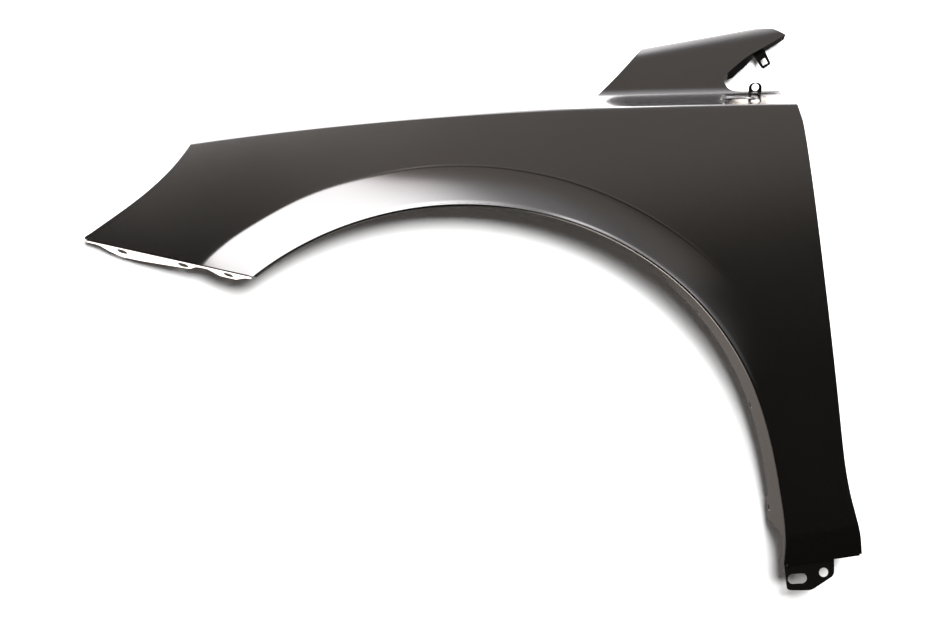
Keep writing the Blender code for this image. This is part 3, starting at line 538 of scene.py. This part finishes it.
# Flanges are turned in all round for stiffness and fixing: along the bumper with two ears, behind
# the headlight, down and out to the rail of the engine bay, up the ear, round the notch, along the
# door edge with two ears for the pillar, and across the foot.
bumper_flange = 0.024
bumper_flange_angle = 65.0
foot_flange = 0.010
narrow_flange = 0.011
headlight_flange = 0.014
edge_radius = 0.0018
bumper_flange_shares = (
    (0.00, 0.16),
    (0.07, 0.16),
    (0.13, 0.65),
    (0.20, 1.00),
    (0.32, 0.97),
    (0.61, 0.62),
    (0.65, 0.18),
    (0.72, 0.18),
    (0.80, 0.66),
    (0.90, 0.66),
    (0.96, 0.24),
    (1.00, 0.18),
)
rail_drop = 0.018
rail_slope = 0.029 / 0.383
rail_width = 0.030
rail_lean = 0.003
pillar_ear = 0.030
pillar_ear_shares = (
    (0, 0.47),
    (0.13, 0.47),
    (0.16, 1),
    (0.21, 1),
    (0.24, 0.47),
    (0.58, 0.47),
    (0.61, 1),
    (0.66, 1),
    (0.69, 0.47),
    (1, 0.47),
)
notch_flange = 0.018
notch_spread = 0.0085
notch_spread_shares = ((0, 0.3), (0.12, 1.0), (0.35, 0.9), (0.5, 0.45), (1, 0.35))


def length_shares(points):
    lengths = [0.0]
    for near, far in zip(points, points[1:]):
        lengths.append(lengths[-1] + (far - near).length)
    return [length / lengths[-1] for length in lengths]


def along_line(points, share):
    """Place at this share of the length of a line, and the way the line runs there."""
    rest = share * sum((far - near).length for near, far in zip(points, points[1:]))
    for near, far in zip(points, points[1:]):
        run = far - near
        if rest <= run.length:
            break
        rest -= run.length
    return near + run.normalized() * rest, run.normalized()


def turned(out, way):
    """Steps round a small radius, from the way that leads out of the skin to the way of a flange."""
    out, way = Vector(out).normalized(), Vector(way).normalized()
    across = (way - out * out.dot(way)).normalized()
    turns = steps(0.0, out.angle(way), 5)
    return [(out * math.sin(turn) + across * (1 - math.cos(turn))) * edge_radius for turn in turns]


def flange(name, root, way, width, shares=((0, 1), (1, 1)), out=None):
    """A flange that runs this way from its root line, as wide as the shares along it say."""
    way = Vector(way).normalized()
    turn = turned(out, way) if out else []
    columns = []
    for place, share in zip(root, length_shares(root)):
        reach = width * straight(shares, share)
        rows = [place] + [place + part for part in turn]
        columns.append(rows + [rows[-1] + way * reach * part for part in steps(0.0, 1.0, 6)])
    patch(name, columns)


bead_end = 18  # rows of a side column up to here: six of hem, six round the fold, six over the bead
bumper_root = side[0][bead_end:][::-1]
edge_way = (lip_point(arch_front_angle) - tip).normalized()
fall = math.cos(math.radians(bumper_flange_angle))
bumper_way = Vector((edge_way.y * fall, math.sin(math.radians(bumper_flange_angle)), -edge_way.x * fall))
bumper_out = (edge_way.y, 0.1, -edge_way.x)
flange("bumper_flange", bumper_root, bumper_way, bumper_flange, bumper_flange_shares, bumper_out)
headlight_root = [column[-1] for column in side[5 : hood_station - 1]]
flange("headlight_flange", headlight_root, (0, 1, 0), headlight_flange)

rail_columns = []
for column in ledge[5 : gap_steps + 1]:
    edge = column[-1]
    start = edge + Vector((0, fold_radius / 2, -fold_radius / 2))
    foot_height = shoulder_height(hood_corner.x) + ledge_height(hood_corner.x) - rail_drop
    foot_height += (edge.x - hood_corner.x) * rail_slope
    foot = Vector((edge.x, start.y + rail_lean, foot_height))
    rows = [edge, edge + Vector((0, fold_radius / 3, -fold_radius / 8)), start]
    rows += [start.lerp(foot, share) for share in steps(0.0, 1.0, 5)]
    rows += [foot + Vector((0, rail_width * share, 0)) for share in steps(0.0, 1.0, 6)]
    rail_columns.append(rows)
patch("rail_flange", rail_columns)
flange("ear_front_flange", ear[0][2:-2], (0, 1, 0), narrow_flange)
top_root = [column[-1] for column in ear[2:] + tail[1:-1]]
flange("ear_top_flange", top_root, (0, 1, -0.6), narrow_flange)
sill_root = [column[-1] for column in sill[22:]]
flange("notch_sill_flange", sill_root, (0, 0.9, -1), narrow_flange)
door_root = [column[-1] for column in side[corner_station + 4 : -5]]
flange("door_flange", door_root, (0, 1, 0), pillar_ear, pillar_ear_shares)

run = notch_top_point(1.0) - notch_top_point(0.0)
into_notch = Vector((run.y, -run.x)).normalized() * notch_spread
notch_columns = []
for share, column in zip(notch_shares[3:], tail[4:]):
    spread = into_notch * straight(notch_spread_shares, share)
    way = Vector((spread.x, notch_flange, spread.y))
    notch_columns.append([column[0]] + [column[0] + way * part for part in (0.07, 0.14, 0.4, 0.7, 1.0)])
patch("notch_flange", notch_columns)

foot_line = side[-1][bead_end:-1]
tab_plane = max(place.y for place in foot_line) + foot_flange
foot_columns = []
for place in foot_line:
    rows = [place] + [place + part for part in turned((0, -kick_slope, -1), (0, 1, 0))]
    back = Vector((rows[-1].x, tab_plane, rows[-1].z))
    foot_columns.append(rows + [rows[-1].lerp(back, share) for share in (0.3, 0.6, 1.0)])
patch("foot_flange", foot_columns)

bpy.ops.object.select_all(action="DESELECT")
for piece in patches:
    piece.select_set(True)
bpy.context.view_layer.objects.active = patches[0]
bpy.ops.object.join()
panel = bpy.context.active_object
panel.name = "pressed_panel"
bpy.ops.object.mode_set(mode="EDIT")
bpy.ops.mesh.select_all(action="SELECT")
bpy.ops.mesh.remove_doubles(threshold=0.00002)
bpy.ops.mesh.normals_make_consistent(inside=False)
bpy.ops.object.mode_set(mode="OBJECT")
on_skin = Vector((0.1, 0.05, 0.43))
middle = min(panel.data.polygons, key=lambda face: (face.center - on_skin).length)
if middle.normal.y > 0:
    panel.data.flip_normals()
thicken = panel.modifiers.new("sheet_thickness", "SOLIDIFY")
thicken.thickness = sheet_thickness
thicken.offset = -1
thicken.use_even_offset = True
bpy.ops.object.modifier_apply(modifier="sheet_thickness")

# Holes are pierced through the flanges after drawing: for the bumper brackets, for the bolts along
# the engine bay with two long scallops between them, for the pillar bolts and for the liner clips.
# Each row of the bumper's holes says where it lies along the flange, how far in, and its size.
bumper_holes = (
    (0.215, 0.0098, 0.0140, 0.0095),
    (0.575, 0.0098, 0.0140, 0.0095),
    (0.855, 0.0092, 0.0140, 0.0080),
)
rail_hole = 0.0090
rail_hole_shares = (0.10, 0.48, 0.88)
scallop_shares = (0.29, 0.68)
scallop_size = (0.085, 0.024, 0.007)
pillar_hole = 0.0085
pillar_hole_reach = 0.020
pillar_hole_shares = (0.185, 0.635)
liner_hole = 0.0080
liner_hole_setback = 0.010
liner_hole_angles = (42.0, 22.0, 1.8)
punch_depth = 0.008
punches = []


def placed(centre, normal, along):
    """Frame whose Z is the normal and whose X lies nearest to the given way."""
    normal = Vector(normal).normalized()
    along = (Vector(along) - normal * Vector(along).dot(normal)).normalized()
    return Matrix.Translation(centre) @ Matrix((along, normal.cross(along), normal)).transposed().to_4x4()


def flange_frame(root, share, way, reach):
    place, along = along_line(root, share)
    way = Vector(way).normalized()
    return placed(place + way * reach, along.cross(way), along)


def punch(frame, length, width):
    """A punch for a round hole, or for a slot with round ends where its length is more."""
    bpy.ops.mesh.primitive_cylinder_add(vertices=40, radius=width / 2, depth=punch_depth)
    tool = bpy.context.active_object
    tool.data.transform(Matrix.Rotation(math.pi / 40, 4, "Z"))
    for vert in tool.data.vertices:
        vert.co.x += math.copysign((length - width) / 2, vert.co.x)
    tool.data.transform(frame)
    punches.append(tool)


def square_punch(frame, length, width, radius):
    """A punch for a hole with rounded corners."""
    bpy.ops.mesh.primitive_cube_add(size=1)
    tool = bpy.context.active_object
    tool.data.transform(Matrix.Diagonal((length, width, punch_depth, 1)))
    bpy.ops.object.mode_set(mode="EDIT")
    bpy.ops.mesh.select_all(action="DESELECT")
    bpy.ops.object.mode_set(mode="OBJECT")
    for edge in tool.data.edges:
        near, far = (tool.data.vertices[index].co for index in edge.vertices)
        edge.select = abs(near.z - far.z) > punch_depth / 2
    bpy.ops.object.mode_set(mode="EDIT")
    bpy.ops.mesh.select_mode(type="EDGE")
    bpy.ops.mesh.bevel(offset=radius, segments=6, affect="EDGES")
    bpy.ops.object.mode_set(mode="OBJECT")
    tool.data.transform(frame)
    punches.append(tool)


def pierce(piece):
    """Cuts all the waiting punches out of a piece and clears them away."""
    for tool in punches:
        cut = piece.modifiers.new("hole", "BOOLEAN")
        cut.object = tool
        cut.solver = "EXACT"
        bpy.context.view_layer.objects.active = piece
        bpy.ops.object.modifier_apply(modifier="hole")
        bpy.data.objects.remove(tool)
    punches.clear()


for share, reach, length, width in bumper_holes:
    punch(flange_frame(bumper_root, share, bumper_way, reach), length, width)
rail_middle = [column[-4] for column in rail_columns]
rail_edge = [column[-1] for column in rail_columns]
for share in rail_hole_shares:
    punch(flange_frame(rail_middle, share, (0, 1, 0), 0), rail_hole, rail_hole)
for share in scallop_shares:
    square_punch(flange_frame(rail_edge, share, (0, 1, 0), 0), *scallop_size)
for share in pillar_hole_shares:
    punch(flange_frame(door_root, share, (0, 1, 0), pillar_hole_reach), pillar_hole, pillar_hole)
for angle in liner_hole_angles:
    foot = lip_point(angle)
    inboard = on_face(foot).y + fold_radius + straight(hem_shares, angle) - liner_hole_setback
    punch(placed((foot.x, inboard, foot.y), (foot.x, 0, foot.y), (0, 1, 0)), liner_hole, liner_hole)
pierce(panel)

# Three small tabs of the same sheet. One hangs below the foot, with a slot and a hole for the sill
# bolts. One hangs into the notch with a square hole, and a lug with a round hole stands on its sill.
sill_tab_radius = 0.004
sill_slot = (0.0225, 0.0118)
sill_slot_turn = 4.0
sill_slot_place = (0.0188, -0.0184, 0)
sill_hole = 0.0110
sill_hole_place = (0.0495, -0.0110, 0)
clip_tab_share = 0.60
clip_tab_radius = 0.003
clip_hole = 0.0075
clip_hole_radius = 0.0006
clip_hole_place = (0, -0.0110, 0)
lug_share = 0.25
lug_radius = 0.0065
lug_hole = 0.0088
lug_hole_place = (0, 0.0048, 0)


def tab(name, outline, rounded, radius, frame):
    """A flat tab: an outline in its own plane with these corners rounded, given its thickness."""
    bpy.ops.mesh.primitive_circle_add(vertices=len(outline), radius=1, fill_type="NGON")
    piece = bpy.context.active_object
    piece.name = name
    for index, place in enumerate(outline):
        piece.data.vertices[index].co = (*place, 0)
    bpy.ops.object.mode_set(mode="EDIT")
    bpy.ops.mesh.select_mode(type="VERT")
    bpy.ops.mesh.select_all(action="DESELECT")
    bpy.ops.object.mode_set(mode="OBJECT")
    for index in rounded:
        piece.data.vertices[index].select = True
    bpy.ops.object.mode_set(mode="EDIT")
    bpy.ops.mesh.bevel(offset=radius, segments=8, affect="VERTICES")
    bpy.ops.mesh.select_all(action="SELECT")
    bpy.ops.mesh.normals_make_consistent(inside=False)
    bpy.ops.object.mode_set(mode="OBJECT")
    thicken = piece.modifiers.new("thickness", "SOLIDIFY")
    thicken.thickness = sheet_thickness
    thicken.offset = 1 if piece.data.polygons[0].normal.z > 0 else -1
    bpy.ops.object.modifier_apply(modifier="thickness")
    piece.data.transform(frame)
    return piece


start, end = lip_point(arch_foot_angle), door_point(arch_foot_angle)
foot_slope = (end.y - start.y) / (end.x - start.x)
sill_outline = (
    (0.0028, foot_slope * 0.0028 + 0.0025),
    (0.0068, -0.0320),
    (0.0353, -0.0320),
    (0.0618, -0.0145),
    (0.0618, foot_slope * 0.0618 + 0.0025),
)
tab_frame = placed((start.x, tab_plane + sheet_thickness, start.y), (0, -1, 0), (1, 0, 0))
sill_tab = tab("sill_tab", sill_outline, (1, 2, 3), sill_tab_radius, tab_frame)
slot_turn = Matrix.Rotation(math.radians(sill_slot_turn), 4, "Z")
punch(tab_frame @ Matrix.Translation(sill_slot_place) @ slot_turn, *sill_slot)
punch(tab_frame @ Matrix.Translation(sill_hole_place), sill_hole, sill_hole)
pierce(sill_tab)

clip_place, clip_along = along_line([column[-1] for column in notch_columns], clip_tab_share)
clip_facing = clip_along.cross(Vector((0, 0, 1))).normalized()
clip_frame = placed(clip_place - clip_facing * sheet_thickness / 2, clip_facing, clip_along)
clip_outline = ((-0.00825, 0.0025), (-0.0065, -0.0180), (0.0065, -0.0180), (0.00825, 0.0025))
clip_tab = tab("clip_tab", clip_outline, (1, 2), clip_tab_radius, clip_frame)
hole_frame = clip_frame @ Matrix.Translation(clip_hole_place)
square_punch(hole_frame, clip_hole, clip_hole, clip_hole_radius)
pierce(clip_tab)

lug_place, lug_along = along_line(sill_root, lug_share)
lug_up = Vector((0, -0.3, 1)).normalized()
lug_facing = lug_along.cross(lug_up).normalized()
lug_frame = placed(lug_place - lug_facing * sheet_thickness / 2, lug_facing, lug_along)
lug_outline = ((-0.0080, -0.0025), (0.0080, -0.0025), (0.0080, 0.0105), (-0.0080, 0.0105))
lug = tab("lug", lug_outline, (2, 3), lug_radius, lug_frame)
punch(lug_frame @ Matrix.Translation(lug_hole_place), lug_hole, lug_hole)
pierce(lug)

bpy.ops.object.select_all(action="DESELECT")
for piece in (panel, sill_tab, clip_tab, lug):
    piece.select_set(True)
bpy.context.view_layer.objects.active = panel
bpy.ops.object.join()
panel.data.name = "pressed_panel"
panel.data.transform(Matrix.Translation(arch_centre))
bpy.ops.object.shade_smooth_by_angle(angle=math.radians(35))

# Black electro-coat primer over the whole sheet: dipped and baked, so it is an even satin film with a
# faint orange peel, a few dust nibs and slightly duller patches where it has been wiped.
class Value:
    """A socket of a shader tree, so that shader sums can be written plainly."""

    def __init__(self, tree, socket=None):
        self.tree, self.socket = tree, socket

    def put(self, value, entry):
        if isinstance(value, Value):
            self.tree.links.new(value.socket, entry)
        else:
            entry.default_value = value

    def node(self, kind, settings, sockets, output=0):
        """A new node of this kind: its settings first, then what its sockets hold or are linked to."""
        made = self.tree.nodes.new(kind)
        for name, value in settings.items():
            setattr(made, name, value)
        for name, value in sockets.items():
            self.put(value, made.inputs[name])
        return Value(self.tree, made.outputs[output])

    def math(self, operation, *others):
        values = dict(enumerate((self, *others)))
        return self.node("ShaderNodeMath", {"operation": operation}, values)

    def __add__(self, other):
        return self.math("ADD", other)

    def __sub__(self, other):
        return self.math("SUBTRACT", other)

    def __mul__(self, other):
        return self.math("MULTIPLY", other)

    def __truediv__(self, other):
        return self.math("DIVIDE", other)

    def __rsub__(self, other):
        return (self * -1).math("ADD", other)

    __radd__ = __add__
    __rmul__ = __mul__

    def rise(self, low, high):
        """0 below low, 1 above high, and a soft step between."""
        share = ((self - low) / (high - low)).math("MAXIMUM", 0).math("MINIMUM", 1)
        return share * share * (3 - 2 * share)

    def noise(self, scale, detail=2):
        """Even noise from 0 to 1 over the place that this value holds."""
        sockets = {"Vector": self, "Scale": scale, "Detail": detail}
        return self.node("ShaderNodeTexNoise", {}, sockets, "Fac")

    def colour(self, low, high):
        """Colour that goes from one to the other as this value goes from 0 to 1."""
        sockets = {0: self, 6: (*low, 1), 7: (*high, 1)}
        return self.node("ShaderNodeMix", {"data_type": "RGBA"}, sockets, 2)


def new_material(name):
    """A material, its shader and its Object coordinates."""
    made = bpy.data.materials.new(name)
    made.use_nodes = True
    place = Value(made.node_tree).node("ShaderNodeTexCoord", {}, {}, "Object")
    return made, made.node_tree.nodes["Principled BSDF"], place


primer, shader, place = new_material("black_primer")
cloud = place.noise(9, 4)
peel = place.noise(420, 1)
nibs = place.noise(700, 0).rise(0.80, 0.86)
place.put(cloud.colour((0.0013, 0.0012, 0.0010), (0.0019, 0.0017, 0.0015)), shader.inputs["Base Color"])
place.put(0.155 + 0.04 * cloud + 0.02 * peel, shader.inputs["Roughness"])
sockets = {"Height": peel + 0.5 * nibs, "Strength": 0.08, "Distance": 0.0002}
place.put(place.node("ShaderNodeBump", {}, sockets), shader.inputs["Normal"])
panel.data.materials.append(primer)
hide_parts("fender_panel")
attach(panel, "root")

# White table top: a backdrop close behind the panel, as the panel lies on it in the picture. It comes
# a little nearer at the foot and at the ear, and it is seen through from behind. A pale floor lies
# below. The panel doesn't mirror either.
stage_size = 6
table_gap = 0.075
table_lean = 0.08
table_middle = -0.05
floor_back = 0.066
floor_height = -0.75
white, shader, place = new_material("white_table")
grain = place.noise(60, 3)
place.put(grain.colour((0.94, 0.94, 0.94), (0.96, 0.96, 0.96)), shader.inputs["Base Color"])
from_behind = place.node("ShaderNodeNewGeometry", {}, {}, "Backfacing")
place.put(1 - from_behind, shader.inputs["Alpha"])
shader.inputs["Roughness"].default_value = 0.9
shader.inputs["Specular IOR Level"].default_value = 0.0
bpy.ops.mesh.primitive_grid_add(x_subdivisions=1, y_subdivisions=2, size=stage_size)
backdrop = bpy.context.active_object
backdrop.name = "backdrop"
for vert in backdrop.data.vertices:
    vert.co = (vert.co.x, table_gap - table_lean * abs(vert.co.y), vert.co.y + table_middle)
backdrop.data.materials.append(white)
floor_place = (0, floor_back - stage_size / 2, floor_height)
bpy.ops.mesh.primitive_plane_add(size=stage_size, location=floor_place)
floor = bpy.context.active_object
floor.name = "floor"
floor.data.materials.append(white)
backdrop.visible_glossy = False
floor.visible_glossy = False
floor.visible_diffuse = False

# Light: a lamp from the upper right casts the shadow. The panel mirrors the studio in its gloss: dark
# round the camera, warm and brighter overhead, and a large white screen up and to the left. Each part
# of the studio is a mask over the way in which a mirrored ray leaves.
screen_strength = 22
card_share = 0.7
room_strength = 0.075
warm, cool = (1.12, 1.0, 0.91), (1.03, 1.0, 1.01)
world = bpy.data.worlds.new("studio")
bpy.context.scene.world = world
world.use_nodes = True
background = world.node_tree.nodes["Background"]
start = Value(world.node_tree)
way = start.node("ShaderNodeTexCoord", {}, {}, "Generated")
right, away, up = (start.node("ShaderNodeSeparateXYZ", {}, {0: way}, axis) for axis in "XYZ")
left = 0 - right
glossy = start.node("ShaderNodeLightPath", {}, {}, "Is Glossy Ray")
seen = start.node("ShaderNodeLightPath", {}, {}, "Is Camera Ray")

# The ceiling brightens upwards in steps and is dimmer off to the front. A window stands to the right.
low = up + 0.4 * (left + 0.05).math("MINIMUM", 0)
ceiling = 0.03 + 0.04 * up.rise(-0.5, -0.1) + 0.13 * low.rise(-0.05, 0.3) + 1.25 * low.rise(0.25, 0.5)
ceiling = ceiling + 1.2 * low.rise(0.6, 0.85) + 1.2 * low.rise(0.8, 1.0)
ceiling = ceiling * (1 - 0.42 * left.rise(0.3, 0.6) + 0.3 * left.rise(0.6, 0.72))
window = 1.2 * right.rise(0.45, 0.7) * up.rise(0.25, 0.5)

# The screen lights the front of the band. White card behind the panel lights the ledge, card below it
# the bumper flange, and card beside the lamp the bead. The white table shows faintly in the hem.
screen = (left * 0.8 + up * 0.6).rise(0.50, 0.80) * (up + left * 0.35).rise(0.765, 0.81)
behind = away.rise(0.17, 0.27) * up.rise(0.45, 0.62) * (1 - right.rise(0.25, 0.4))
behind = behind * (1 - 0.68 * right.rise(0.10, 0.16))
below = away.rise(0.3, 0.5) * left.rise(0.1, 0.3) * (0 - up).rise(0.35, 0.6)
beside = right.rise(0.18, 0.3) * away.rise(-0.15, 0.03) * (1 - away.rise(0.3, 0.5)) * up.rise(0.5, 0.7)
beside = beside * (1 - 0.65 * right.rise(0.3, 0.55))
card = behind.math("MAXIMUM", below).math("MAXIMUM", beside)
table = left.rise(0.015, 0.04).math("MAXIMUM", up.rise(-0.03, 0.04))
table = table * away.rise(0.5, 0.8) * (1 - up.rise(0.2, 0.4)) * 0.27

light = ceiling + window + table + screen_strength * screen.math("MAXIMUM", card * card_share)
strength = glossy * light + (1 - glossy - seen) * room_strength + seen
start.put(strength, background.inputs["Strength"])
tint = screen.math("MAXIMUM", up.rise(0.6, 0.8)).math("MAXIMUM", right.rise(0.3, 0.6))
tint = tint.math("MAXIMUM", seen)
start.put(tint.colour(warm, cool), background.inputs["Color"])

lamp_place = Vector((0.35, -1.9, 0.2))
lamp_target = Vector((0, 0, -0.2))
lamp = bpy.data.lights.new("lamp", "AREA")
lamp.energy = 97
lamp.size = 0.55
lamp_object = bpy.data.objects.new("lamp", lamp)
bpy.context.scene.collection.objects.link(lamp_object)
lamp_object.location = lamp_place
lamp_object.rotation_euler = (lamp_target - lamp_place).to_track_quat("-Z", "Y").to_euler()
lamp_object.visible_glossy = False

# Camera, square on to the side of the panel. Its distance and its lens are those at which the
# outline, the flanges and the mirrored studio lie as they do in the picture.
camera_place = Vector((0.01037, -1.5, 0.24205))
camera = bpy.data.cameras.new("camera")
camera.sensor_width = 36
camera.lens = 49.3
camera_object = bpy.data.objects.new("camera", camera)
bpy.context.scene.collection.objects.link(camera_object)
camera_object.location = arch_centre + camera_place
camera_object.rotation_euler = (math.radians(90), 0, 0)
bpy.context.scene.camera = camera_object
bpy.context.scene.view_settings.view_transform = "Standard"
